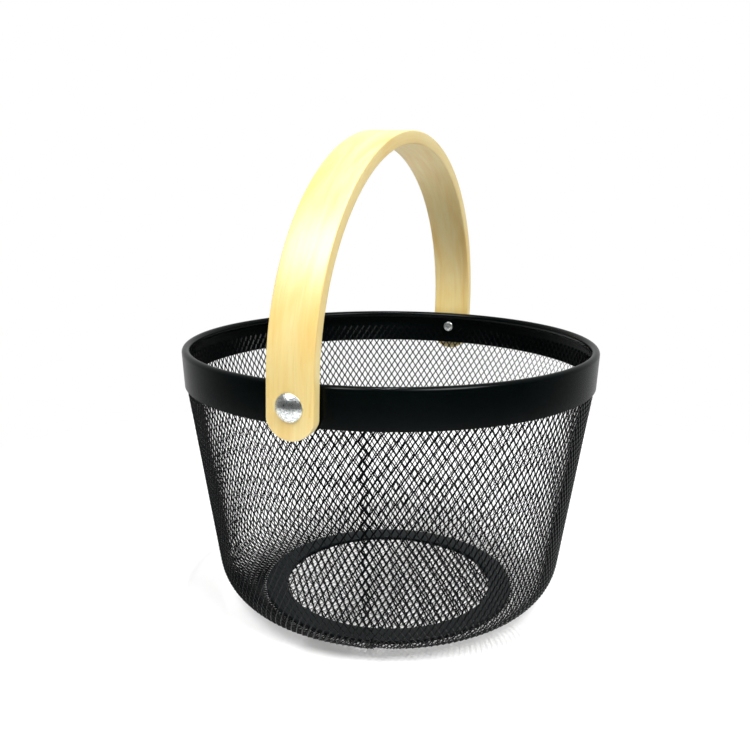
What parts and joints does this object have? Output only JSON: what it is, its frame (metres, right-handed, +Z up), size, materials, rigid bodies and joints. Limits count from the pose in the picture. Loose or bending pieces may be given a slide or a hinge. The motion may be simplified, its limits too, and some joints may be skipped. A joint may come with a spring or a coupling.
{
  "type": "wire produce basket",
  "caption": "Round black wire produce basket: tapered expanded-metal wall and base, sheet-steel rim band, and a bent-wood handle that swings on two domed pivots.",
  "frame": {"origin": "middle of the base, on the surface that the basket stands on", "axes": "+Z up; X along the handle's pivot line, so the handle swings towards +Y and -Y; the basket has no front, and the picture looks at it from about -X"},
  "size_m": [0.2736, 0.25, 0.2843],
  "materials": {
    "black_paint": "satin black powder coat on sheet steel",
    "mesh_paint": "satin black powder coat on expanded steel",
    "wood": "pale bent wood with a thin clear satin lacquer",
    "zinc": "bright zinc plate, lightly scuffed",
    "nylon": "natural nylon"
  },
  "bodies": {
    "basket": {"rim_band": "black_paint", "wall_mesh": "mesh_paint", "base_mesh": "mesh_paint", "base_ring_upper": "black_paint", "base_ring_lower": "black_paint", "barrel_nut_right": "zinc", "spacer_washer_right": "nylon", "pivot_screw_right": "zinc", "barrel_nut_left": "zinc", "spacer_washer_left": "nylon", "pivot_screw_left": "zinc"},
    "handle": {"handle": "wood"}
  },
  "joints": [
    {"name": "handle_swing", "type": "hinge", "parent": "basket", "child": "handle", "pos_m": [0, 0, 0.15], "axis": [1, 0, 0], "range_deg": [-106.5, 103.5]}
  ]
}
